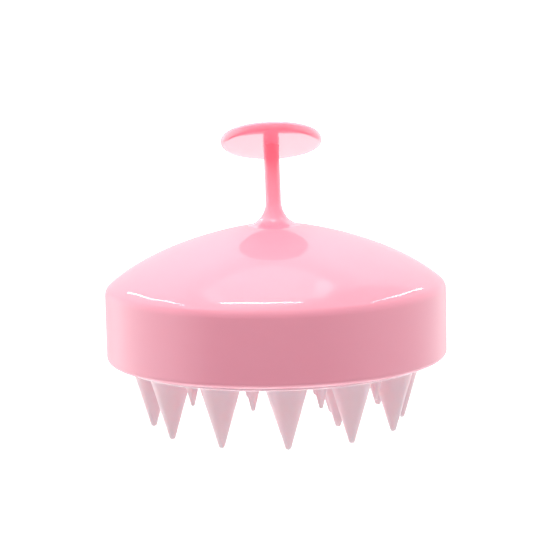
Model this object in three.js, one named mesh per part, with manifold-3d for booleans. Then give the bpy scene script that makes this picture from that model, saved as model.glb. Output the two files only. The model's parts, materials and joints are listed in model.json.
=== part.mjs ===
// Scalp massager brush: a round domed shell, a slim stem that leans back to a tilted finger disc,
// and a pull-out brush head of soft silicone tines below.
//
// Units are millimetres. +Z is up. The origin is on the brush's axis, in the plane of the tine
// tips. The front is -Y: the stem leans away from it and the finger disc lifts its front edge.

import * as THREE from 'three';
import { mergeVertices } from 'three/addons/utils/BufferGeometryUtils.js';
import Module from 'manifold-3d';

const wasm = await Module();
wasm.setup();

// ---------------------------------------------------------------- driving dimensions

const clearance = 0.3; // gap between pieces that touch or slide on the real brush

// Heights above the plane of the tine tips
const lipZ = 15.8; // underside of the retaining ring's lip
const skirtBottomZ = 16.9;
const shoulderZ = 33.5; // where the upright skirt ends and the shoulder begins
const domeRise = 17.1; // shoulder to crown
const crownZ = shoulderZ + domeRise;
const discCentreZ = 69.95;

// Shell
const shellRadius = 42.5;
const shellWall = 2.2;
const shoulderRound = 2.85;
const shoulderSlope = THREE.MathUtils.degToRad(40.7); // how steeply the dome meets the shoulder
const crownHandle = 7.0; // reach of the dome curve's level start at the crown
const shoulderHandle = 15.7; // reach of its sloping end at the shoulder
const skirtEdgeRound = 1.6;
const ribCount = 6;
const ribThickness = 1.6;
const ribFootZ = 24.4; // underside of the ribs, which stop the brush head

// Crown seat, with its boss inside the shell
const seatRadius = 6.8;
const seatDepth = 1.2;
const bossRadius = 7.4;
const bossBottomZ = 46.0;
const bossHoleRadius = 3.3;

// Grip stem
const stemRadius = 1.95;
const collarFlare = 1.0; // radius of the hollow curve under the disc
const spigotRadius = bossHoleRadius - clearance;
const pilotRadius = 1.75;
const pilotTopZ = 53.2;
const tenonRadius = 1.1;
const tenonHeight = 1.0;
const leanStartZ = 49.5; // the stem bends back from here
const leanBend = 5; // height over which the lean grows to its full slope

// Finger disc
const discRadius = 12.7;
const discThickness = 2.4;
const discEdgeRound = 1.0;
const discTilt = THREE.MathUtils.degToRad(23); // front edge up
const discSetback = 11; // how far the disc's centre lies behind the brush's axis

// Stem screw and washer
const screwShankRadius = 1.45;
const screwHeadRadius = 2.8;
const screwHeadHeight = 2.0;
const screwTopZ = 52.6;
const washerRadius = 6.2;
const washerThickness = 0.8;

// Brush head
const pocketRadius = shellRadius - shellWall;
const ringRadius = pocketRadius - clearance;
const ringWall = 1.1;
const ringTopZ = ribFootZ - clearance;
const lipRadius = 38.9;
const lipInnerRadius = 37.6;
const lipHeight = 2.4;
const headTurn = THREE.MathUtils.degToRad(2.5); // the round head's turn in the shell
const padBottomZ = 16.4;
const padThickness = 2.2;
const padFlangeThickness = 1.0;
const plateThickness = 1.6;
const plateRibHeight = 2.2;
const drainRadius = 2.0;
const drainCount = 6;
const drainCircle = 25.0;

// Tines
const largeTine = { rootRadius: 4.9, tipRadius: 0.8, tipZ: 0, swing: THREE.MathUtils.degToRad(15.5) };
const smallTine = { rootRadius: 1.8, tipRadius: 0.5, tipZ: 9.5, swing: THREE.MathUtils.degToRad(20.5) };
const outerCircle = 31.3;
const innerCircle = 16.5;

// Facets
const shellSegments = 48;
const discSegments = 36;
const stemSegments = 20;
const tineSegments = 12;

// ---------------------------------------------------------------- materials

const pinkGloss = new THREE.MeshStandardMaterial({ color: '#f7a6bb', roughness: 0.12, metalness: 0 });
const pinkPale = new THREE.MeshStandardMaterial({ color: '#f8cdd6', roughness: 0.2, metalness: 0 });
const pinkMatt = new THREE.MeshStandardMaterial({ color: '#f2a9b9', roughness: 0.45, metalness: 0 });
const silicone = new THREE.MeshStandardMaterial({ color: '#eba4b4', roughness: 0.5, metalness: 0 });
const steel = new THREE.MeshStandardMaterial({ color: '#c9ccd0', roughness: 0.3, metalness: 1 });

// ---------------------------------------------------------------- geometry helpers

// Points [radius, height] along an arc, both ends included.
function arc(centreR, centreZ, radius, fromDegrees, toDegrees, steps) {
  const points = [];
  for (let i = 0; i <= steps; i += 1) {
    const angle = THREE.MathUtils.degToRad(fromDegrees + ((toDegrees - fromDegrees) * i) / steps);
    points.push([centreR + radius * Math.cos(angle), centreZ + radius * Math.sin(angle)]);
  }
  return points;
}

// Turns an outline of [radius, height] points about Z. The outline runs counter-clockwise in the
// radius-height plane, and either starts and ends on the axis or is closed here.
function turned(outline, segments) {
  const points = outline.map(([r, z]) => new THREE.Vector2(r, z));
  if (points[0].x > 0) {
    points.push(points[0].clone());
  }
  const geometry = new THREE.LatheGeometry(points, segments);
  geometry.rotateX(Math.PI / 2);
  return geometry;
}

function toSolid(geometry) {
  const bare = geometry.clone();
  bare.deleteAttribute('normal');
  bare.deleteAttribute('uv');
  const merged = mergeVertices(bare, 1e-4);
  const kept = [];
  const index = merged.index.array;
  for (let i = 0; i < index.length; i += 3) {
    const [a, b, c] = [index[i], index[i + 1], index[i + 2]];
    if (a !== b && b !== c && c !== a) {
      kept.push(a, b, c);
    }
  }
  return new wasm.Manifold(
    new wasm.Mesh({
      numProp: 3,
      vertProperties: new Float32Array(merged.attributes.position.array),
      triVerts: new Uint32Array(kept),
    }),
  );
}

function fromSolid(solid) {
  const mesh = solid.getMesh();
  const geometry = new THREE.BufferGeometry();
  geometry.setAttribute('position', new THREE.BufferAttribute(new Float32Array(mesh.vertProperties), 3));
  geometry.setIndex(new THREE.BufferAttribute(new Uint32Array(mesh.triVerts), 1));
  geometry.computeVertexNormals();
  return geometry;
}

// An upright round post, used to cut holes.
function post(radius, bottomZ, topZ, x = 0, y = 0) {
  const geometry = new THREE.CylinderGeometry(radius, radius, topZ - bottomZ, stemSegments);
  geometry.rotateX(Math.PI / 2);
  geometry.translate(x, y, (topZ + bottomZ) / 2);
  return toSolid(geometry);
}

// ---------------------------------------------------------------- dome shell

const shoulderDegrees = 90 - THREE.MathUtils.radToDeg(shoulderSlope);
const shoulderCentreR = shellRadius - shoulderRound;

// The dome from the shoulder to the crown, moved inward by inset.
function domeOutline(inset, steps) {
  const round = shoulderRound - inset;
  const shoulder = arc(shoulderCentreR, shoulderZ, round, 0, shoulderDegrees, 3);
  const [startR, startZ] = shoulder[shoulder.length - 1];
  const topZ = crownZ - inset;
  const curve = new THREE.CubicBezierCurve(
    new THREE.Vector2(startR, startZ),
    new THREE.Vector2(
      startR - shoulderHandle * Math.cos(shoulderSlope),
      startZ + shoulderHandle * Math.sin(shoulderSlope),
    ),
    new THREE.Vector2(crownHandle, topZ),
    new THREE.Vector2(0, topZ),
  );
  const dome = curve.getPoints(steps).map((point) => [point.x, point.y]);
  return [...shoulder.slice(0, -1), ...dome];
}

// Height of the outer dome at a radius.
function domeHeight(radius) {
  const points = domeOutline(0, 80);
  for (let i = 1; i < points.length; i += 1) {
    const [outerR, outerZ] = points[i - 1];
    const [innerR, innerZ] = points[i];
    if (innerR <= radius && outerR > innerR) {
      return innerZ + ((outerZ - innerZ) * (radius - innerR)) / (outerR - innerR);
    }
  }
  return crownZ;
}

const seatFloorZ = domeHeight(seatRadius) - seatDepth;

function domeShell() {
  const outerDome = domeOutline(0, 11).filter(([r]) => r > seatRadius);
  const innerDome = domeOutline(shellWall, 8).filter(([r]) => r > bossRadius);
  const skirtEdgeZ = skirtBottomZ + skirtEdgeRound;
  const shell = toSolid(
    turned(
      [
        ...arc(shellRadius - skirtEdgeRound, skirtEdgeZ, skirtEdgeRound, -90, 0, 3),
        ...outerDome,
        [seatRadius, domeHeight(seatRadius)],
        [seatRadius, seatFloorZ],
        [bossHoleRadius, seatFloorZ],
        [bossHoleRadius, bossBottomZ],
        [bossRadius, bossBottomZ],
        ...innerDome.reverse(),
        [pocketRadius, skirtBottomZ],
      ],
      shellSegments,
    ),
  );

  // Stiffening ribs run from the boss to the skirt under the dome
  const ribTop = domeOutline(shellWall / 2, 8).filter(([r]) => r > bossRadius - 1);
  const rib = new THREE.Shape();
  rib.moveTo(pocketRadius + shellWall / 2, ribFootZ);
  ribTop.forEach(([r, z]) => rib.lineTo(r, z));
  rib.lineTo(bossRadius - 1, bossBottomZ + 1);
  rib.quadraticCurveTo(pocketRadius * 0.72, bossBottomZ - 4, pocketRadius - 3, ribFootZ);
  let ribbed = shell;
  for (let i = 0; i < ribCount; i += 1) {
    const geometry = new THREE.ExtrudeGeometry(rib, { depth: ribThickness, bevelEnabled: false, curveSegments: 6 });
    geometry.translate(0, 0, -ribThickness / 2);
    geometry.rotateX(Math.PI / 2);
    geometry.rotateZ(((i + 0.5) * 2 * Math.PI) / ribCount);
    ribbed = ribbed.add(toSolid(geometry));
  }
  return fromSolid(ribbed);
}

// ---------------------------------------------------------------- grip stem and finger disc

const footRadius = seatRadius - clearance;
const footBottomZ = seatFloorZ + clearance;
const footRimZ = domeHeight(footRadius);
const footRimSlope = Math.atan(domeHeight(footRadius - 0.5) - domeHeight(footRadius + 0.5));

// Smooth step from 0 to 1.
function ease(value) {
  const t = THREE.MathUtils.clamp(value, 0, 1);
  return t * t * (3 - 2 * t);
}

// Centre of the disc's underside, where the stem ends with a gap
const jointY = discSetback - (discThickness / 2) * Math.sin(discTilt);
const jointZ = discCentreZ - (discThickness / 2) * Math.cos(discTilt);
const stemTopZ = jointZ - clearance;

// How far the stem's middle lies behind the brush's axis at a height
function setback(z) {
  const rise = THREE.MathUtils.clamp(z, leanStartZ, stemTopZ) - leanStartZ;
  const slope = jointY / (stemTopZ - leanStartZ - leanBend / 2);
  return slope * (rise < leanBend ? (rise * rise) / (2 * leanBend) : rise - leanBend / 2);
}

function gripStem() {
  // The foot's hollow flare starts level with the dome's slope and ends upright on the stem
  const footFlare = (footRadius - stemRadius) / (1 - Math.sin(footRimSlope));
  const flareCentreZ = footRimZ + footFlare * Math.cos(footRimSlope);
  const flareDegrees = 90 - THREE.MathUtils.radToDeg(footRimSlope);
  const collarZ = stemTopZ - collarFlare;
  const waistSteps = 4;
  const waist = [];
  for (let i = 1; i < waistSteps; i += 1) {
    waist.push([stemRadius, flareCentreZ + ((collarZ - flareCentreZ) * i) / waistSteps]);
  }
  const outline = [
    [0, pilotTopZ],
    [pilotRadius, pilotTopZ - pilotRadius / 2],
    [pilotRadius, bossBottomZ + clearance],
    [spigotRadius, bossBottomZ + clearance],
    [spigotRadius, footBottomZ],
    [footRadius, footBottomZ],
    ...arc(stemRadius + footFlare, flareCentreZ, footFlare, 180 + flareDegrees, 180, 9),
    ...waist,
    ...arc(stemRadius + collarFlare, collarZ, collarFlare, 180, 100, 5),
    [stemRadius + collarFlare, stemTopZ],
    [tenonRadius, stemTopZ],
    [tenonRadius, stemTopZ + tenonHeight],
    [0, stemTopZ + tenonHeight],
  ];
  const geometry = turned(outline, stemSegments);

  // The stem bends back above its foot, and its end slopes to lie flat under the tilted disc. The
  // pilot hole in the foot stays upright, and the tenon's own end stays level.
  const slopeStartZ = collarZ - 2;
  const tenonMiddleZ = stemTopZ + tenonHeight / 2;
  const position = geometry.attributes.position;
  for (let i = 0; i < position.count; i += 1) {
    const x = position.getX(i);
    const y = position.getY(i);
    const z = position.getZ(i);
    const inPilotHole = z <= pilotTopZ && Math.hypot(x, y) < (pilotRadius + stemRadius) / 2;
    if (!inPilotHole) {
      position.setY(i, y + setback(z));
    }
    if (z < tenonMiddleZ) {
      const share = ease((z - slopeStartZ) / (stemTopZ - slopeStartZ));
      position.setZ(i, z - y * Math.tan(discTilt) * share);
    }
  }
  return geometry;
}

function gripDisc() {
  const half = discThickness / 2;
  const bend = discRadius - discEdgeRound;
  const disc = toSolid(
    turned(
      [
        [0, -half],
        ...arc(bend, -half + discEdgeRound, discEdgeRound, -90, 0, 3),
        ...arc(bend, half - discEdgeRound, discEdgeRound, 0, 90, 3),
        [0, half],
      ],
      discSegments,
    ).rotateX(-discTilt).translate(0, discSetback, discCentreZ),
  );
  const socketTopZ = stemTopZ + tenonHeight + clearance;
  const socket = post(tenonRadius + clearance, stemTopZ - 2, socketTopZ, 0, jointY);
  return fromSolid(disc.subtract(socket));
}

// ---------------------------------------------------------------- stem screw and washer

const washerTopZ = bossBottomZ - clearance;
const washerBottomZ = washerTopZ - washerThickness;
const screwHeadTopZ = washerBottomZ - clearance;
const screwHeadBottomZ = screwHeadTopZ - screwHeadHeight;

function stemScrew() {
  const headRound = 0.9;
  const body = toSolid(
    turned(
      [
        [0, screwHeadBottomZ],
        ...arc(screwHeadRadius - headRound, screwHeadBottomZ + headRound, headRound, -90, 0, 3),
        [screwHeadRadius, screwHeadTopZ],
        [screwShankRadius, screwHeadTopZ],
        [screwShankRadius, screwTopZ - screwShankRadius],
        [0, screwTopZ],
      ],
      stemSegments,
    ),
  );
  const slotLength = 3.4;
  const slotWidth = 0.8;
  const slotDepth = 1.1;
  const slot = new THREE.BoxGeometry(slotLength, slotWidth, slotDepth * 2);
  slot.translate(0, 0, screwHeadBottomZ);
  const crossSlot = slot.clone().rotateZ(Math.PI / 2);
  return fromSolid(body.subtract(toSolid(slot).add(toSolid(crossSlot))));
}

function stemWasher() {
  const holeRadius = screwShankRadius + clearance;
  return turned(
    [
      [holeRadius, washerBottomZ],
      [washerRadius, washerBottomZ],
      [washerRadius, washerTopZ],
      [holeRadius, washerTopZ],
    ],
    stemSegments,
  );
}

// ---------------------------------------------------------------- brush head

const lipTopZ = lipZ + lipHeight;
const padTopZ = padBottomZ + padThickness;
const flangeRadius = ringRadius - ringWall - clearance;
const plateBottomZ = padTopZ + clearance;
const plateTopZ = plateBottomZ + plateThickness;

function retainingRing() {
  const edge = 0.35;
  const innerRadius = ringRadius - ringWall;
  return turned(
    [
      [lipInnerRadius, lipZ + edge],
      [lipInnerRadius + edge, lipZ],
      ...arc(lipRadius - edge, lipZ + edge, edge, -90, 0, 2),
      [lipRadius, skirtBottomZ + clearance],
      [ringRadius, skirtBottomZ + clearance],
      [ringRadius, ringTopZ - edge],
      [ringRadius - edge, ringTopZ],
      [innerRadius, ringTopZ],
      [innerRadius, padTopZ - padFlangeThickness - clearance],
      [lipInnerRadius, padTopZ - padFlangeThickness - clearance],
    ],
    shellSegments,
  );
}

function bristlePad() {
  const padRadius = lipInnerRadius - clearance;
  return turned(
    [
      [0, padBottomZ],
      [padRadius, padBottomZ],
      [padRadius, padTopZ - padFlangeThickness],
      [flangeRadius, padTopZ - padFlangeThickness],
      [flangeRadius, padTopZ],
      [0, padTopZ],
    ],
    shellSegments,
  );
}

function backingPlate() {
  const ribTopZ = plateTopZ + plateRibHeight;
  const ribWidth = 1.4;
  const hubRadius = 9;
  const rimRibRadius = flangeRadius - 3;
  let plate = toSolid(
    turned(
      [
        [0, plateBottomZ],
        [flangeRadius, plateBottomZ],
        [flangeRadius, plateTopZ],
        [rimRibRadius + ribWidth, plateTopZ],
        [rimRibRadius + ribWidth, ribTopZ],
        [rimRibRadius, ribTopZ],
        [rimRibRadius, plateTopZ],
        [hubRadius + ribWidth, plateTopZ],
        [hubRadius + ribWidth, ribTopZ],
        [hubRadius, ribTopZ],
        [hubRadius, plateTopZ],
        [0, plateTopZ],
      ],
      shellSegments,
    ),
  );
  for (let i = 0; i < drainCount; i += 1) {
    const angle = (i * 2 * Math.PI) / drainCount;
    const x = drainCircle * Math.cos(angle);
    const y = drainCircle * Math.sin(angle);
    plate = plate.subtract(post(drainRadius, plateBottomZ - 1, plateTopZ + 1, x, y));
  }
  return fromSolid(plate);
}

// ---------------------------------------------------------------- tines

const tineTopZ = padBottomZ - clearance;

// A cone with a rounded tip. Its root is a shallow cone whose apex is the bending point, so that
// the tine can swing without touching the pad.
function tineGeometry({ rootRadius, tipRadius, tipZ, swing }) {
  const rootZ = tineTopZ - rootRadius * Math.tan(swing);
  const tipCentreZ = tipZ + tipRadius;
  const reach = Math.hypot(rootRadius, rootZ - tipCentreZ);
  const sideLean = Math.asin(tipRadius / reach) - Math.atan2(rootRadius, rootZ - tipCentreZ);
  const sideDegrees = THREE.MathUtils.radToDeg(sideLean);
  return turned(
    [
      ...arc(0, tipCentreZ, tipRadius, -90, sideDegrees, 3).map(([r, z], i) => [i === 0 ? 0 : r, z]),
      [rootRadius, rootZ],
      [0, tineTopZ],
    ],
    tineSegments,
  );
}

// Names and places of the tines. Each circle starts at the head's own front and runs
// counter-clockwise.
const tineRings = [
  { name: 'outer_tine', shape: largeTine, circle: outerCircle, count: 12, startStep: 0 },
  { name: 'outer_nub', shape: smallTine, circle: outerCircle, count: 12, startStep: 0.5 },
  { name: 'inner_tine', shape: largeTine, circle: innerCircle, count: 6, startStep: 0 },
  { name: 'inner_nub', shape: smallTine, circle: innerCircle, count: 6, startStep: 0.5 },
  { name: 'centre_tine', shape: largeTine, circle: 0, count: 1, startStep: 0 },
];

// ---------------------------------------------------------------- assembly

function piece(name, geometry, material) {
  const mesh = new THREE.Mesh(geometry, material.clone());
  mesh.name = name;
  return mesh;
}

const brush = new THREE.Group();

const handle = new THREE.Group();
handle.add(piece('dome_shell', domeShell(), pinkGloss));
handle.add(piece('grip_stem', gripStem(), pinkGloss));
handle.add(piece('grip_disc', gripDisc(), pinkGloss));
handle.add(piece('stem_screw', stemScrew(), steel));
handle.add(piece('stem_washer', stemWasher(), steel));
brush.add(handle);

const head = new THREE.Group();
head.add(piece('retaining_ring', retainingRing(), pinkPale));
head.add(piece('backing_plate', backingPlate(), pinkMatt));
head.add(piece('bristle_pad', bristlePad(), silicone));
for (const ring of tineRings) {
  const geometry = tineGeometry(ring.shape);
  for (let i = 0; i < ring.count; i += 1) {
    const angle = ((i + ring.startStep) * 2 * Math.PI) / ring.count - Math.PI / 2;
    const name = ring.count > 1 ? `${ring.name}_${String(i + 1).padStart(2, '0')}` : ring.name;
    const tine = piece(name, geometry, silicone);
    tine.position.set(ring.circle * Math.cos(angle), ring.circle * Math.sin(angle), 0);
    tine.rotation.z = angle;
    head.add(tine);
  }
}
head.rotation.z = headTurn;
brush.add(head);

export default brush;
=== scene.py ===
"""Scalp massager brush: the looks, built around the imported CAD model.

Lengths are written in millimetres and become metres when a mesh is made. +Z is up and the
front is -Y, as in the CAD model. Every visible CAD node gets a finer piece that stands for it.
"""

import json
import math

import bmesh
import bpy
from mathutils import Matrix, Vector


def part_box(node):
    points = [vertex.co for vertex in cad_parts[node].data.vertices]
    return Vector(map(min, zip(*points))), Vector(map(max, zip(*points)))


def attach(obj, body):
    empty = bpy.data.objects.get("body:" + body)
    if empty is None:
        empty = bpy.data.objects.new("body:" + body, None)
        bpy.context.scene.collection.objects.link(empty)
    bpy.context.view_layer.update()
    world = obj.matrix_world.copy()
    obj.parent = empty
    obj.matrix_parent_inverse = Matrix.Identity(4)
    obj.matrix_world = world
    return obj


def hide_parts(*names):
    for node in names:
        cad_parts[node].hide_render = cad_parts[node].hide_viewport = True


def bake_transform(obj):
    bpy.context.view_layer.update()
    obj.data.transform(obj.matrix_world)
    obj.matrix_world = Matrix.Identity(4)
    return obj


MM = 0.001

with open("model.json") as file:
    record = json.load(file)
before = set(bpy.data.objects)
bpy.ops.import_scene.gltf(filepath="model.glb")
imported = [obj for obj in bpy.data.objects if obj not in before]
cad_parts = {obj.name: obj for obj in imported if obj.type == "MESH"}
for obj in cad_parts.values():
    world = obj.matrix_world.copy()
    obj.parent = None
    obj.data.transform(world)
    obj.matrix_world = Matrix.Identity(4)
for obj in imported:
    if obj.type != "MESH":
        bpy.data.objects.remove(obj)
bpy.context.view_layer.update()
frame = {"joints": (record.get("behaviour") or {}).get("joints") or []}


def node_box(node):
    """Lowest and highest corner of a CAD node, in millimetres."""
    low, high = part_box(node)
    return low / MM, high / MM


# ------------------------------------------------------------------ sizes from the frame

shell_low, shell_high = node_box("dome_shell")
ring_low, ring_high = node_box("retaining_ring")
pad_low, pad_high = node_box("bristle_pad")
plate_low, plate_high = node_box("backing_plate")
disc_low, disc_high = node_box("grip_disc")
washer_low, washer_high = node_box("stem_washer")
screw_low, screw_high = node_box("stem_screw")

SHELL_RADIUS = shell_high.x
SKIRT_BOTTOM = shell_low.z
LIP_BOTTOM = ring_low.z
RING_TOP = ring_high.z
PAD_BOTTOM = pad_low.z
PAD_TOP = pad_high.z
PLATE_BOTTOM = plate_low.z

# ------------------------------------------------------------------ sizes of the curves

SKIN = 0.04  # how deep a piece sinks into its neighbour where the real one is one moulding

SHOULDER_HEIGHT = 33.5
DOME_RISE = 17.1
CROWN_HEIGHT = SHOULDER_HEIGHT + DOME_RISE
SHELL_WALL = 2.2
SHOULDER_ROUND = 2.85
SHOULDER_SLOPE = math.radians(40.7)
CROWN_HANDLE = 7.0
SHOULDER_HANDLE = 15.7
SKIRT_EDGE_ROUND = 1.6

SEAT_RADIUS = 6.8
SEAT_DEPTH = 1.2
BOSS_RADIUS = 7.4
BOSS_BOTTOM = 46.0
BOSS_HOLE_RADIUS = 3.3
RIB_COUNT = 6
RIB_THICKNESS = 1.6
RIB_FOOT = 24.4

STEM_RADIUS = 1.95
FOOT_RADIUS = 6.74
COLLAR_FLARE = 0.3  # radius of the hollow curve under the disc
COLLAR_BLEND = 2.0  # height below the collar over which the stem turns to the disc's slope
SPIGOT_RADIUS = 3.0
PILOT_RADIUS = 1.75
PILOT_TOP = 53.2
LEAN_START = 49.5  # the stem bends back from here
LEAN_BEND = 5.0  # height over which the lean grows to its full slope
DISC_TILT = math.radians(23)
DISC_RADIUS = 12.7
DISC_THICKNESS = 2.4
DISC_LOWER_ROUND = 1.0
DISC_UPPER_ROUND = 1.15
DISC_CENTRE = (disc_low + disc_high) / 2
HEAD_TURN = math.radians(2.5)

LIP_RADIUS = 38.9
LIP_INNER_RADIUS = 37.6
RING_WALL = 1.1
RING_GAP = 0.3  # between the skirt's bottom and the step it rests on
PAD_RIM_THICKNESS = 1.1
PAD_RIM_ROOM = 1.3  # height the ring leaves for the pad's rim
PLATE_THICKNESS = 1.6
PLATE_RIM_WIDTH = 1.6
PLATE_RIM_STEP = 3.0  # from the plate's edge to the inside of its raised rim
PLATE_HUB_RADII = (9.0, 10.4)
DRAIN_COUNT = 6
DRAIN_RADIUS = 2.0
DRAIN_CIRCLE = 25.0
WASHER_HOLE = 1.75
SCREW_SHANK = 1.45

ROUND_STEPS = 7  # points in a rounded corner
SHELL_SEGMENTS = 256
STEM_SEGMENTS = 96
TINE_SEGMENTS = 48
SHARP_ANGLE = math.radians(32)


# ------------------------------------------------------------------ outlines


def arc(centre, radius, start, end, steps):
    """Points (radius, height) along an arc, angles in degrees, both ends included."""
    points = []
    for i in range(steps + 1):
        angle = math.radians(start + (end - start) * i / steps)
        points.append((centre[0] + radius * math.cos(angle), centre[1] + radius * math.sin(angle)))
    return points


def bezier(p0, p1, p2, p3, steps):
    """Points along a cubic curve, both ends included."""
    points = []
    for i in range(steps + 1):
        t = i / steps
        s = 1 - t
        weights = (s**3, 3 * s * s * t, 3 * s * t * t, t**3)
        shares = list(zip(weights, (p0, p1, p2, p3)))
        points.append(tuple(sum(w * p[k] for w, p in shares) for k in (0, 1)))
    return points


def rounded(corners, closed=True, steps=ROUND_STEPS):
    """An outline from corners (radius, height) or (radius, height, rounding)."""
    outline = []
    count = len(corners)
    for i, corner in enumerate(corners):
        here = Vector(corner[:2])
        size = corner[2] if len(corner) > 2 else 0
        at_end = not closed and i in (0, count - 1)
        if not size or at_end:
            outline.append(tuple(here))
            continue
        before = (Vector(corners[i - 1][:2]) - here).normalized()
        after = (Vector(corners[(i + 1) % count][:2]) - here).normalized()
        half = before.angle(after) / 2
        start = here + before * (size / math.tan(half))
        end = here + after * (size / math.tan(half))
        centre = here + (before + after).normalized() * (size / math.sin(half))
        first, last = start - centre, end - centre
        sweep = first.angle_signed(last)
        for k in range(steps + 1):
            angle = -sweep * k / steps
            turn = Matrix.Rotation(angle, 2)
            outline.append(tuple(centre + turn @ first))
    return outline


def dome_curve(inset, steps):
    """The dome from the shoulder up to the crown, moved inward by inset."""
    centre = (SHELL_RADIUS - SHOULDER_ROUND, SHOULDER_HEIGHT)
    slope_end = 90 - math.degrees(SHOULDER_SLOPE)
    shoulder = arc(centre, SHOULDER_ROUND - inset, 0, slope_end, 14)
    start = shoulder[-1]
    top = CROWN_HEIGHT - inset
    handle = (
        start[0] - SHOULDER_HANDLE * math.cos(SHOULDER_SLOPE),
        start[1] + SHOULDER_HANDLE * math.sin(SHOULDER_SLOPE),
    )
    return shoulder[:-1] + bezier(start, handle, (CROWN_HANDLE, top), (0, top), steps)


def dome_at(radius):
    """Height and slope (radians below level) of the outer dome at a radius."""
    points = dome_curve(0, 400)
    for (r0, z0), (r1, z1) in zip(points, points[1:]):
        if r1 <= radius < r0:
            share = (radius - r1) / (r0 - r1)
            return z1 + (z0 - z1) * share, math.atan2(z1 - z0, r0 - r1)
    return CROWN_HEIGHT, 0.0


# ------------------------------------------------------------------ mesh building


def mark_sharp(mesh):
    """Smooth shading, with edges sharper than SHARP_ANGLE kept crisp."""
    work = bmesh.new()
    work.from_mesh(mesh)
    bmesh.ops.recalc_face_normals(work, faces=work.faces)
    for face in work.faces:
        face.smooth = True
    for edge in work.edges:
        if len(edge.link_faces) == 2:
            edge.smooth = edge.calc_face_angle(0) < SHARP_ANGLE
    work.to_mesh(mesh)
    work.free()


def new_object(name, verts, faces):
    mesh = bpy.data.meshes.new(name)
    mesh.from_pydata([(x * MM, y * MM, z * MM) for x, y, z in verts], [], faces)
    mark_sharp(mesh)
    item = bpy.data.objects.new(name, mesh)
    bpy.context.scene.collection.objects.link(item)
    return item


def turned(name, outline, segments, bend=None):
    """A piece turned about Z from an outline. bend moves each (x, y, z) before the mesh is made."""
    verts = []
    rings = []
    for r, z in outline:
        if r < 1e-4:
            rings.append([len(verts)])
            verts.append((0.0, 0.0, z))
            continue
        rings.append(list(range(len(verts), len(verts) + segments)))
        for k in range(segments):
            angle = 2 * math.pi * k / segments
            verts.append((r * math.cos(angle), r * math.sin(angle), z))
    faces = []
    pairs = list(zip(rings, rings[1:]))
    if len(rings[0]) > 1:
        pairs.append((rings[-1], rings[0]))
    for lower, upper in pairs:
        for k in range(segments):
            n = (k + 1) % segments
            if len(lower) == 1:
                faces.append((lower[0], upper[n], upper[k]))
            elif len(upper) == 1:
                faces.append((lower[k], lower[n], upper[0]))
            else:
                faces.append((lower[k], lower[n], upper[n], upper[k]))
    if bend:
        verts = [bend(x, y, z) for x, y, z in verts]
    return new_object(name, verts, faces)


def combine(target, tool, operation):
    """Joins or cuts target with tool, and removes tool."""
    modifier = target.modifiers.new(operation, "BOOLEAN")
    modifier.operation = operation
    modifier.solver = "EXACT"
    modifier.object = tool
    depsgraph = bpy.context.evaluated_depsgraph_get()
    mesh = bpy.data.meshes.new_from_object(target.evaluated_get(depsgraph))
    target.modifiers.clear()
    target.data = mesh
    mark_sharp(mesh)
    bpy.data.objects.remove(tool)


def place(item, node, material, body=None):
    """Gives a piece its material, lets it stand for its CAD node, and hangs it on a body when one is
    named.
    """
    item.data.materials.clear()
    item.data.materials.append(material)
    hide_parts(node)
    if body:
        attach(item, body)
    return item


# ------------------------------------------------------------------ materials


class Nodes:
    """A short way to write the nodes of a material or the world."""

    def __init__(self, tree):
        self.tree = tree
        self.coordinates = tree.nodes.new("ShaderNodeTexCoord").outputs

    def link(self, source, target):
        self.tree.links.new(source, target)

    def fill(self, socket, value):
        """Links a socket to another one, or gives it a plain value."""
        if isinstance(value, bpy.types.NodeSocket):
            self.link(value, socket)
        else:
            socket.default_value = value

    def node(self, kind, **inputs):
        item = self.tree.nodes.new(kind)
        for key, value in inputs.items():
            self.fill(item.inputs[key.replace("_", " ")], value)
        return item

    def math(self, operation, first, second):
        item = self.tree.nodes.new("ShaderNodeMath")
        item.operation = operation
        self.fill(item.inputs[0], first)
        self.fill(item.inputs[1], second)
        return item.outputs[0]

    def noise(self, size, detail=3.0, stretch=(1, 1, 1)):
        """Noise whose features are about size millimetres across."""
        mapping = self.node("ShaderNodeMapping", Vector=self.coordinates["Object"], Scale=stretch)
        noise = self.node("ShaderNodeTexNoise", Scale=1 / (size * MM), Detail=detail)
        self.link(mapping.outputs[0], noise.inputs["Vector"])
        return noise.outputs["Fac"]

    def ramp(self, value, low, high, start=0.0, end=1.0, smooth=False):
        """Maps a value from the span start to end onto the span low to high."""
        item = self.node("ShaderNodeMapRange", Value=value)
        item.interpolation_type = "SMOOTHSTEP" if smooth else "LINEAR"
        for key, number in (("From Min", start), ("From Max", end), ("To Min", low), ("To Max", high)):
            item.inputs[key].default_value = number
        return item.outputs[0]

    def mix(self, factor, first, second):
        """Blends two colours or plain values."""
        item = self.tree.nodes.new("ShaderNodeMix")
        item.data_type = "RGBA"
        self.fill(item.inputs[0], factor)
        self.fill(item.inputs[6], first)
        self.fill(item.inputs[7], second)
        return item.outputs[2]

    def bump(self, height, depth, strength=1.0):
        """A bump depth millimetres high."""
        item = self.node("ShaderNodeBump", Strength=strength, Distance=depth * MM, Height=height)
        return item.outputs[0]

    def toward(self, direction):
        """Cosine of the angle between the view ray and a direction, for the world."""
        item = self.tree.nodes.new("ShaderNodeVectorMath")
        item.operation = "DOT_PRODUCT"
        item.inputs[1].default_value = Vector(direction).normalized()
        self.link(self.coordinates["Generated"], item.inputs[0])
        return item.outputs["Value"]


def new_material(name, build):
    """A material whose shader inputs are what build(nodes) returns."""
    material = bpy.data.materials.new(name)
    material.use_nodes = True
    nodes = Nodes(material.node_tree)
    shader = material.node_tree.nodes["Principled BSDF"]
    for key, value in build(nodes).items():
        nodes.fill(shader.inputs[key], value)
    return material


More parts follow.
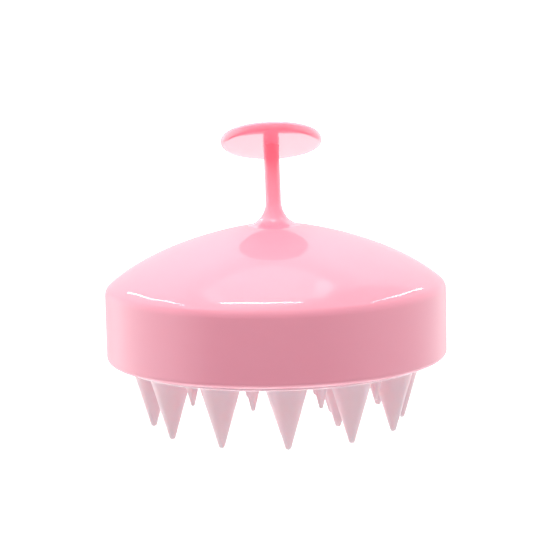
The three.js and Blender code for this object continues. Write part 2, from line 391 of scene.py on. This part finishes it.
def gloss_pink(n):
    """High-gloss moulded ABS: even pink, faint flow clouding, a hazy gloss under a clear skin."""
    haze = n.noise(6, 5)
    return {
        "Base Color": n.mix(n.noise(26, 2), (0.82, 0.303, 0.396, 1), (0.835, 0.315, 0.41, 1)),
        "Roughness": n.ramp(haze, 0.48, 0.54),
        "Specular IOR Level": 0.3,
        "Coat Weight": 0.36,
        "Coat Roughness": n.ramp(haze, 0.02, 0.045),
        "Coat IOR": 1.5,
        "Normal": n.bump(n.noise(9, 1), 0.008),
        "Subsurface Weight": 0.12,
        "Subsurface Scale": 0.002,
        "Subsurface Radius": (1.0, 0.35, 0.3),
    }


def thin_pink_painted_glow(n):
    """The same ABS where it is thin enough for light to pass into it and out again. Its base colour is
    brighter and more saturated than the shell's, and it glows faintly pink. Both are painted light that
    lifts the stem and the disc out of the shade under the disc.
    """
    inputs = gloss_pink(n)
    # Painted light: a brighter base than the shell's, to lighten the stem and the disc where they lie in
    # shade.
    inputs["Base Color"] = n.mix(n.noise(26, 2), (0.91, 0.25, 0.33, 1), (0.92, 0.265, 0.345, 1))
    # Painted glow: the stem and disc give off a faint pink light of their own, lifting them out of the
    # disc's shade.
    inputs["Emission Color"] = (0.9, 0.17, 0.27, 1)
    inputs["Emission Strength"] = 0.3
    inputs["Coat Weight"] = 0.7
    inputs["Subsurface Weight"] = 0.7
    inputs["Subsurface Scale"] = 0.006
    return inputs


def pale_pink(n):
    """Milky, half-clear plastic of the ring, glossy and much paler than the shell."""
    cloud = n.noise(8, 3)
    return {
        "Base Color": n.mix(cloud, (0.90, 0.54, 0.62, 1), (0.93, 0.60, 0.68, 1)),
        "Roughness": n.ramp(cloud, 0.16, 0.24),
        "IOR": 1.5,
        "Normal": n.bump(n.noise(3, 2), 0.006),
        "Subsurface Weight": 0.5,
        "Subsurface Scale": 0.004,
        "Subsurface Radius": (1.0, 0.5, 0.45),
    }


def matt_pink(n):
    """Unpolished ABS with a fine spark-eroded grain."""
    cloud = n.noise(14, 3)
    return {
        "Base Color": n.mix(cloud, (0.86, 0.33, 0.44, 1), (0.91, 0.37, 0.48, 1)),
        "Roughness": n.ramp(cloud, 0.42, 0.52),
        "Normal": n.bump(n.noise(0.35, 2), 0.03),
    }


def silicone(n):
    """Soft translucent silicone: light soaks in and spreads, with a satin, faintly dusty skin."""
    cloud = n.noise(5, 3)
    return {
        "Base Color": n.mix(cloud, (0.98, 0.675, 0.735, 1), (0.99, 0.72, 0.78, 1)),
        "Roughness": n.ramp(cloud, 0.34, 0.46),
        "IOR": 1.41,
        "Normal": n.bump(n.noise(0.25, 2), 0.012),
        "Subsurface Weight": 0.8,
        "Subsurface Scale": 0.004,
        "Subsurface Radius": (1.0, 0.45, 0.4),
    }


def steel(n):
    """Zinc-plated steel with turned brush marks."""
    marks = n.noise(0.5, 4, (1, 1, 12))
    return {
        "Base Color": n.mix(marks, (0.60, 0.61, 0.64, 1), (0.72, 0.73, 0.76, 1)),
        "Metallic": 1.0,
        "Roughness": n.ramp(marks, 0.22, 0.36),
        "Normal": n.bump(marks, 0.01),
    }


GLOSS = new_material("gloss_pink_abs", gloss_pink)
# Stem and disc material, with a painted glow and a brighter base that lighten their shade.
THIN_PAINTED_GLOW = new_material("gloss_pink_abs_thin_painted_glow", thin_pink_painted_glow)
PALE = new_material("pale_pink_ring", pale_pink)
MATT = new_material("matt_pink_abs", matt_pink)
SILICONE = new_material("silicone_pink", silicone)
STEEL = new_material("plated_steel", steel)

# ------------------------------------------------------------------ handle


def build_shell():
    """Dome, shoulder and skirt in one hollow shell, with the crown boss inside. The ribs come from
    add_ribs.
    """
    outer = [p for p in dome_curve(0, 72) if p[0] > SEAT_RADIUS + 0.1]
    inner = [p for p in dome_curve(SHELL_WALL, 40) if p[0] > BOSS_RADIUS + 0.1]
    seat_top, _ = dome_at(SEAT_RADIUS)
    seat_floor = seat_top - SEAT_DEPTH
    pocket = SHELL_RADIUS - SHELL_WALL
    edge_centre = (SHELL_RADIUS - SKIRT_EDGE_ROUND, SKIRT_BOTTOM + SKIRT_EDGE_ROUND)
    outline = [(pocket + 0.3, SKIRT_BOTTOM)]
    outline += arc(edge_centre, SKIRT_EDGE_ROUND, -90, 0, 12)
    outline += outer
    outline += [
        (SEAT_RADIUS, seat_top),
        (SEAT_RADIUS, seat_floor),
        (BOSS_HOLE_RADIUS, seat_floor),
        (BOSS_HOLE_RADIUS, BOSS_BOTTOM),
        (BOSS_RADIUS, BOSS_BOTTOM),
    ]
    outline += inner[::-1]
    outline += [(pocket, SKIRT_BOTTOM + 0.3)]
    return turned("shell_skin", outline, SHELL_SEGMENTS)


def add_ribs(shell):
    """Stiffening ribs from the boss to the skirt. Their feet stop the brush head."""
    pocket = SHELL_RADIUS - SHELL_WALL
    top = [p for p in dome_curve(SHELL_WALL / 2, 24) if p[0] > BOSS_RADIUS - 1]
    lower = bezier(
        (BOSS_RADIUS - 1, BOSS_BOTTOM + 1),
        (pocket * 0.5, BOSS_BOTTOM - 3),
        (pocket * 0.86, BOSS_BOTTOM - 8),
        (pocket - 3, RIB_FOOT),
        16,
    )
    side = [(pocket + SHELL_WALL / 2, RIB_FOOT)] + top + lower
    count = len(side)
    for i in range(RIB_COUNT):
        turn = Matrix.Rotation((i + 0.5) * 2 * math.pi / RIB_COUNT, 3, "Z")
        verts = []
        for offset in (-RIB_THICKNESS / 2, RIB_THICKNESS / 2):
            verts += [tuple(turn @ Vector((r, offset, z))) for r, z in side]
        faces = [tuple(range(count)), tuple(range(2 * count - 1, count - 1, -1))]
        faces += [(k, k + count, (k + 1) % count + count, (k + 1) % count) for k in range(count)]
        combine(shell, new_object("rib_tool", verts, faces), "UNION")


def ease(value):
    t = min(max(value, 0.0), 1.0)
    return t * t * (3 - 2 * t)


def build_stem():
    """Slim stem leaning back: a flared foot flush with the dome, a waist, a collar under the disc."""
    foot_height, foot_slope = dome_at(FOOT_RADIUS)
    seat_floor = dome_at(SEAT_RADIUS)[0] - SEAT_DEPTH
    down = Matrix.Rotation(-DISC_TILT, 3, "X") @ Vector((0, 0, DISC_THICKNESS / 2 - SKIN))
    joint = DISC_CENTRE - down
    foot_flare = (FOOT_RADIUS - STEM_RADIUS) / (1 - math.sin(foot_slope))
    flare_centre = (STEM_RADIUS + foot_flare, foot_height + foot_flare * math.cos(foot_slope))
    flare = arc(flare_centre, foot_flare, 270 - math.degrees(foot_slope), 180, 28)
    collar_centre = (STEM_RADIUS + COLLAR_FLARE, joint.z - COLLAR_FLARE)
    collar = arc(collar_centre, COLLAR_FLARE, 180, 97, 20)
    waist_start, waist_end = flare[-1][1], collar[0][1]
    waist = [(STEM_RADIUS, waist_start + (waist_end - waist_start) * k / 10) for k in range(1, 10)]
    spigot_bottom = BOSS_BOTTOM + 0.1
    outline = [
        (0, PILOT_TOP),
        (PILOT_RADIUS, PILOT_TOP - PILOT_RADIUS / 2),
        (PILOT_RADIUS, spigot_bottom),
        (SPIGOT_RADIUS, spigot_bottom),
        (SPIGOT_RADIUS, seat_floor + 0.05),
        (FOOT_RADIUS, seat_floor + 0.05),
        (FOOT_RADIUS, foot_height - 0.1),
    ]
    outline += flare + waist + collar + [(collar[-1][0], joint.z), (0, joint.z)]
    slope_start = joint.z - COLLAR_FLARE - COLLAR_BLEND
    slope = joint.y / (joint.z - LEAN_START - LEAN_BEND / 2)

    def bend(x, y, z):
        if z <= PILOT_TOP and math.hypot(x, y) < PILOT_RADIUS + 0.01:
            return x, y, z
        rise = min(max(z - LEAN_START, 0.0), joint.z - LEAN_START)
        run = rise * rise / (2 * LEAN_BEND) if rise < LEAN_BEND else rise - LEAN_BEND / 2
        setback = slope * run
        share = ease((z - slope_start) / (joint.z - slope_start))
        return x, y + setback, z - y * math.tan(DISC_TILT) * share

    return turned("stem_skin", outline, STEM_SEGMENTS, bend)


def build_disc():
    """Finger disc with a softly rounded edge, tilted with its front edge up."""
    half = DISC_THICKNESS / 2
    outline = rounded(
        [
            (0, -half),
            (DISC_RADIUS, -half, DISC_LOWER_ROUND),
            (DISC_RADIUS, half, DISC_UPPER_ROUND),
            (0, half),
        ],
        closed=False,
        steps=10,
    )
    inner = [(r, -half) for r in (4.0, 8.0)]
    outline = outline[:1] + inner + outline[1:-1] + [(r, half) for r in (8.0, 4.0)] + outline[-1:]
    turn = Matrix.Rotation(-DISC_TILT, 3, "X")

    def tilt(x, y, z):
        return tuple(DISC_CENTRE + turn @ Vector((x, y, z)))

    return turned("disc_skin", outline, 160, tilt)


shell = build_shell()
add_ribs(shell)
place(shell, "dome_shell", GLOSS, "handle")
place(build_stem(), "grip_stem", THIN_PAINTED_GLOW, "handle")
place(build_disc(), "grip_disc", THIN_PAINTED_GLOW, "handle")

# ------------------------------------------------------------------ screw and washer


def build_washer():
    outline = rounded(
        [
            (WASHER_HOLE, washer_low.z, 0.12),
            (washer_high.x, washer_low.z, 0.2),
            (washer_high.x, washer_high.z, 0.2),
            (WASHER_HOLE, washer_high.z, 0.12),
        ],
        steps=4,
    )
    return turned("washer_skin", outline, 96)


def build_screw():
    head = screw_high.x
    head_top = washer_low.z - 0.05
    bottom = screw_low.z
    dish = arc((0, bottom + 4.6), 4.6, -90, -60, 8)
    outline = dish + rounded(
        [(head * 0.9, bottom + 0.75, 0.3), (head, bottom + 1.5, 0.2), (head, head_top, 0.1)],
        closed=False,
        steps=4,
    )
    outline += [(SCREW_SHANK, head_top), (SCREW_SHANK, screw_high.z - 2), (0, screw_high.z)]
    screw = turned("screw_skin", outline, 64)
    for turn in (0, math.pi / 2):
        bpy.ops.mesh.primitive_cube_add(size=1, location=(0, 0, bottom * MM))
        slot = bpy.context.object
        slot.scale = (3.4 * MM, 0.8 * MM, 2.4 * MM)
        slot.rotation_euler = (0, 0, turn)
        bpy.context.view_layer.update()
        combine(screw, slot, "DIFFERENCE")
    return screw


place(build_washer(), "stem_washer", STEEL, "handle")
place(build_screw(), "stem_screw", STEEL, "handle")

# ------------------------------------------------------------------ brush head


def build_ring():
    outer = ring_high.x
    inner = outer - RING_WALL
    flange_seat = PAD_TOP - PAD_RIM_ROOM
    outline = rounded(
        [
            (LIP_INNER_RADIUS, LIP_BOTTOM, 0.35),
            (LIP_RADIUS, LIP_BOTTOM, 0.45),
            (LIP_RADIUS, SKIRT_BOTTOM + RING_GAP, 0.15),
            (outer, SKIRT_BOTTOM + RING_GAP, 0.25),
            (outer, RING_TOP, 0.3),
            (inner, RING_TOP, 0.3),
            (inner, flange_seat, 0.1),
            (LIP_INNER_RADIUS, flange_seat, 0.1),
        ],
        steps=6,
    )
    return turned("ring_skin", outline, SHELL_SEGMENTS)


def build_pad():
    edge = LIP_INNER_RADIUS - 0.05
    outline = rounded(
        [
            (0, PAD_BOTTOM),
            (edge, PAD_BOTTOM, 0.3),
            (edge, PAD_TOP - PAD_RIM_THICKNESS, 0.1),
            (pad_high.x, PAD_TOP - PAD_RIM_THICKNESS, 0.1),
            (pad_high.x, PAD_TOP, 0.2),
            (0, PAD_TOP),
        ],
        closed=False,
        steps=5,
    )
    return turned("pad_skin", outline, 192)


def build_plate():
    rim = plate_high.x
    top = PLATE_BOTTOM + PLATE_THICKNESS
    rib_top = plate_high.z
    hub_inner, hub_outer = PLATE_HUB_RADII
    outline = rounded(
        [
            (0, PLATE_BOTTOM),
            (rim, PLATE_BOTTOM, 0.2),
            (rim, top, 0.3),
            (rim - PLATE_RIM_WIDTH, top, 0.3),
            (rim - PLATE_RIM_WIDTH, rib_top, 0.3),
            (rim - PLATE_RIM_STEP, rib_top, 0.3),
            (rim - PLATE_RIM_STEP, top, 0.3),
            (hub_outer, top, 0.3),
            (hub_outer, rib_top, 0.3),
            (hub_inner, rib_top, 0.3),
            (hub_inner, top, 0.3),
            (0, top),
        ],
        closed=False,
        steps=4,
    )
    plate = turned("plate_skin", outline, 144)
    for i in range(DRAIN_COUNT):
        angle = HEAD_TURN + i * 2 * math.pi / DRAIN_COUNT
        spot = Vector((DRAIN_CIRCLE * math.cos(angle), DRAIN_CIRCLE * math.sin(angle), PLATE_BOTTOM))
        bpy.ops.mesh.primitive_cylinder_add(
            vertices=48,
            radius=DRAIN_RADIUS * MM,
            depth=8 * MM,
            location=spot * MM,
        )
        combine(plate, bpy.context.object, "DIFFERENCE")
    return plate


place(build_ring(), "retaining_ring", PALE, "head")
place(build_pad(), "bristle_pad", SILICONE, "head")
place(build_plate(), "backing_plate", MATT, "head")

# ------------------------------------------------------------------ tines

LARGE_TINE = {"tip_radius": 0.8, "half_angle": math.radians(16.3), "flare": 0.5}
SMALL_TINE = {"tip_radius": 0.5, "half_angle": math.radians(13.5), "flare": 0.4}


def tine_outline(tip_height, tip_radius, half_angle, flare):
    """Tip, side and hollow flare of a tine, up to where it sinks into the pad."""
    centre = tip_height + tip_radius
    tip = arc((0, centre), tip_radius, -90, -math.degrees(half_angle), 10)
    apex = centre - tip_radius / math.sin(half_angle)
    root_start = PAD_BOTTOM - 1.6 * flare
    start = ((root_start - apex) * math.tan(half_angle), root_start)
    root = ((PAD_BOTTOM - apex) * math.tan(half_angle), PAD_BOTTOM)
    side = [tip[-1]]
    steps = 14
    for k in range(1, steps):
        share = k / steps
        side.append(tuple(tip[-1][j] + (start[j] - tip[-1][j]) * share for j in (0, 1)))
    end = (root[0] + flare, PAD_BOTTOM)
    root_curve = bezier(start, root, root, end, 10)
    return tip[:-1] + side + root_curve + [(end[0], PAD_BOTTOM + 0.2), (0, PAD_BOTTOM + 0.2)]


def build_tine(node, shape):
    low, high = node_box(node)
    middle = (low + high) / 2
    outline = tine_outline(low.z, **shape)

    def move(x, y, z):
        return x + middle.x, y + middle.y, z

    item = turned(node + "_skin", outline, TINE_SEGMENTS, move)
    place(item, node, SILICONE)
    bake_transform(item)
    return item


for joint in frame["joints"]:
    if joint["type"] != "hinge":
        continue
    tine = joint["child"]
    build_tine(tine, SMALL_TINE if "nub" in tine else LARGE_TINE)

# ------------------------------------------------------------------ stage, light and camera

FLOOR_DROP = 21  # depth of the floor under the tines, so that a head pulled right out clears it
FLOOR_GLOW = 0.36
FLOOR_GLOW_SEEN = 0.95
AMBIENT_LOW = 0.06
AMBIENT_HIGH = 4.1
AMBIENT_LEFT = 0.5
AMBIENT_RIGHT = 0.35
HORIZON = 1.3
ZENITH = 5.6
RIGHT_SHADE = 0.45
LEFT_WALL = 3.9
RIGHT_WALL = 2.3
FRONT_WALL = 0.7
BELOW = 6.0
LAMPS = (  # strength, direction, direction across its long side
    (3.5, (0.235, 0.318, 0.918), (0.96, -0.1, -0.21)),
    (2.0, (-0.303, 0.33, 0.894), (0.93, 0.1, 0.28)),
)
STRIP_DISTANCE = 12.0
STRIP_WIDTH = 0.13
STRIP_AIM = Vector((0, 0, 0.04))
STRIPS = {  # radiance, then the directions each strip runs through
    "strip_left": (26, (-0.472, 0.773, 0.425), (-0.533, 0.544, 0.648), (-0.477, 0.278, 0.834)),
    "strip_right": (26, (0.497, 0.739, 0.455), (0.543, 0.516, 0.663), (0.509, 0.255, 0.822)),
    "strip_top": (70, (-0.302, 0.174, 0.937), (-0.077, 0.102, 0.992), (0.149, 0.106, 0.983)),
}

CAMERA_DISTANCE = 552.5
CAMERA_HEIGHT = 122.8
CAMERA_PITCH = math.radians(8.79)
CAMERA_YAW = math.radians(1.6)
CAMERA_ROLL = math.radians(1.25)
CAMERA_LENS = 146.75
CAMERA_SHIFT = -0.2 / 550


def build_camera():
    camera_data = bpy.data.cameras.new("camera")
    camera_data.lens = CAMERA_LENS
    camera_data.sensor_width = 36
    camera_data.shift_x = CAMERA_SHIFT
    camera_data.clip_end = 50
    camera = bpy.data.objects.new("camera", camera_data)
    bpy.context.scene.collection.objects.link(camera)
    sin_yaw, cos_yaw = math.sin(CAMERA_YAW), math.cos(CAMERA_YAW)
    forward = Vector(
        (
            sin_yaw * math.cos(CAMERA_PITCH),
            cos_yaw * math.cos(CAMERA_PITCH),
            -math.sin(CAMERA_PITCH),
        )
    )
    right = Vector((cos_yaw, -sin_yaw, 0))
    up = right.cross(forward)
    rolled_right = right * math.cos(CAMERA_ROLL) - up * math.sin(CAMERA_ROLL)
    rolled_up = right * math.sin(CAMERA_ROLL) + up * math.cos(CAMERA_ROLL)
    spot = Vector((-sin_yaw * CAMERA_DISTANCE, -cos_yaw * CAMERA_DISTANCE, CAMERA_HEIGHT)) * MM
    turn = Matrix((rolled_right, rolled_up, -forward)).transposed().to_4x4()
    camera.matrix_world = Matrix.Translation(spot) @ turn
    bpy.context.scene.camera = camera


def table_top(n):
    """Pale paper with a glow of its own, brighter to the camera, and clear from underneath."""
    camera_ray = n.node("ShaderNodeLightPath").outputs["Is Camera Ray"]
    underneath = n.node("ShaderNodeNewGeometry").outputs["Backfacing"]
    return {
        "Base Color": (0.32, 0.32, 0.32, 1),
        "Alpha": n.math("SUBTRACT", 1.0, underneath),
        "Roughness": 0.9,
        "Emission Color": (1, 1, 1, 1),
        "Emission Strength": n.ramp(camera_ray, FLOOR_GLOW, FLOOR_GLOW_SEEN),
        "Normal": n.bump(n.noise(0.4, 2), 0.01),
    }


def build_floor():
    half, height = 12.0, -FLOOR_DROP * MM
    mesh = bpy.data.meshes.new("floor")
    corners = [(-half, -half, height), (half, -half, height), (half, half, height), (-half, half, height)]
    mesh.from_pydata(corners, [], [(0, 1, 2, 3)])
    mesh.materials.append(new_material("table_paper", table_top))
    floor = bpy.data.objects.new("floor", mesh)
    bpy.context.scene.collection.objects.link(floor)
    floor.visible_glossy = False


def build_strip(name, radiance, directions):
    """A long light strip through the given directions. Only glossy surfaces see it."""
    turn = Matrix.Rotation(-CAMERA_YAW, 3, "Z")
    ends = [turn @ Vector(direction).normalized() * STRIP_DISTANCE for direction in directions]
    for k, (first, last) in enumerate(zip(ends, ends[1:])):
        along = (last - first).normalized()
        middle = (first + last) / 2
        facing = (middle - along * middle.dot(along)).normalized()
        data = bpy.data.lights.new(f"{name}_{k}", "AREA")
        data.shape = "RECTANGLE"
        data.size = (last - first).length
        data.size_y = STRIP_WIDTH
        data.energy = radiance * math.pi * data.size * data.size_y
        light = bpy.data.objects.new(data.name, data)
        bpy.context.scene.collection.objects.link(light)
        axes = Matrix((along, facing.cross(along), facing)).transposed().to_4x4()
        light.matrix_world = Matrix.Translation(middle + STRIP_AIM) @ axes
        light.visible_camera = False
        light.visible_diffuse = False


def soft_light(n):
    """Even light for matt surfaces, fuller from above and from the sides than from the front."""
    lift = n.ramp(n.toward((0, -0.2, 1)), AMBIENT_LOW, AMBIENT_HIGH, 0.7, 1.0, smooth=True)
    left = n.ramp(n.toward((-1, 0, 0)), 0.0, AMBIENT_LEFT, 0.0, 1.0, smooth=True)
    right = n.ramp(n.toward((1, 0, 0)), 0.0, AMBIENT_RIGHT, 0.0, 1.0, smooth=True)
    return n.math("ADD", lift, n.math("ADD", left, right))


def mirrored_canopy(n):
    """The bright white canopy behind and above the brush, brightest overhead."""
    up = n.toward((0, 0, 1))
    canopy = n.math("ADD", HORIZON, n.math("MULTIPLY", ZENITH - HORIZON, n.math("POWER", up, 2)))
    shade = n.ramp(n.toward((0.81, -0.59, 0)), 1.0, RIGHT_SHADE, 0.0, 0.08, smooth=True)
    around = n.toward((-0.02, 0.3, 0.954))
    rim = n.ramp(around, 1.0, 0.72, 0.86, 0.93, smooth=True)
    inside = n.ramp(around, 0.0, 0.38, 0.945, 0.957, smooth=True)
    canopy = n.math("MULTIPLY", n.math("MULTIPLY", canopy, shade), n.math("ADD", rim, inside))
    for strength, middle, across in LAMPS:
        spot = n.ramp(n.toward(middle), 0.0, strength, 0.985, 0.997, smooth=True)
        off = n.math("ABSOLUTE", n.toward(across), 0.0)
        band = n.ramp(off, 1.0, 0.0, 0.015, 0.065, smooth=True)
        canopy = n.math("ADD", canopy, n.math("MULTIPLY", spot, band))
    cut = n.ramp(n.toward((0, 1, 0)), 0.3, 1.0, 0.0, 0.075, smooth=True)
    return n.math("MULTIPLY", canopy, cut)


def mirrored_room(n):
    """What glossy surfaces mirror: the canopy, a bright left wall, a dim front, light from below."""
    left = n.ramp(n.toward((-0.97, 0.2, 0)), 0.0, LEFT_WALL, 0.45, 1.0, smooth=True)
    right = n.ramp(n.toward((0.98, 0.2, 0)), 0.0, RIGHT_WALL, 0.2, 1.0, smooth=True)
    front = n.ramp(n.toward((0, 0, 1)), FRONT_WALL, 0.0, 0.1, 0.5, smooth=True)
    walls = n.math("ADD", front, n.math("ADD", left, right))
    below = n.ramp(n.toward((0, 0, -1)), 0.0, BELOW, 0.6, 0.98, smooth=True)
    return n.math("MAXIMUM", n.math("MAXIMUM", walls, mirrored_canopy(n)), below)


def build_world():
    """Soft light on matt surfaces, a room to mirror in glossy ones, plain white to the camera."""
    world = bpy.data.worlds.new("studio")
    bpy.context.scene.world = world
    world.use_nodes = True
    n = Nodes(world.node_tree)
    path = n.node("ShaderNodeLightPath").outputs
    light = n.mix(path["Is Glossy Ray"], soft_light(n), mirrored_room(n))
    strength = n.math("MAXIMUM", light, path["Is Camera Ray"])
    background = world.node_tree.nodes["Background"]
    background.inputs["Color"].default_value = (1, 1, 1, 1)
    n.link(strength, background.inputs["Strength"])


build_camera()
build_floor()
build_world()
for strip_name, (strip_radiance, *strip_directions) in STRIPS.items():
    build_strip(strip_name, strip_radiance, strip_directions)
bpy.context.scene.view_settings.view_transform = "Standard"
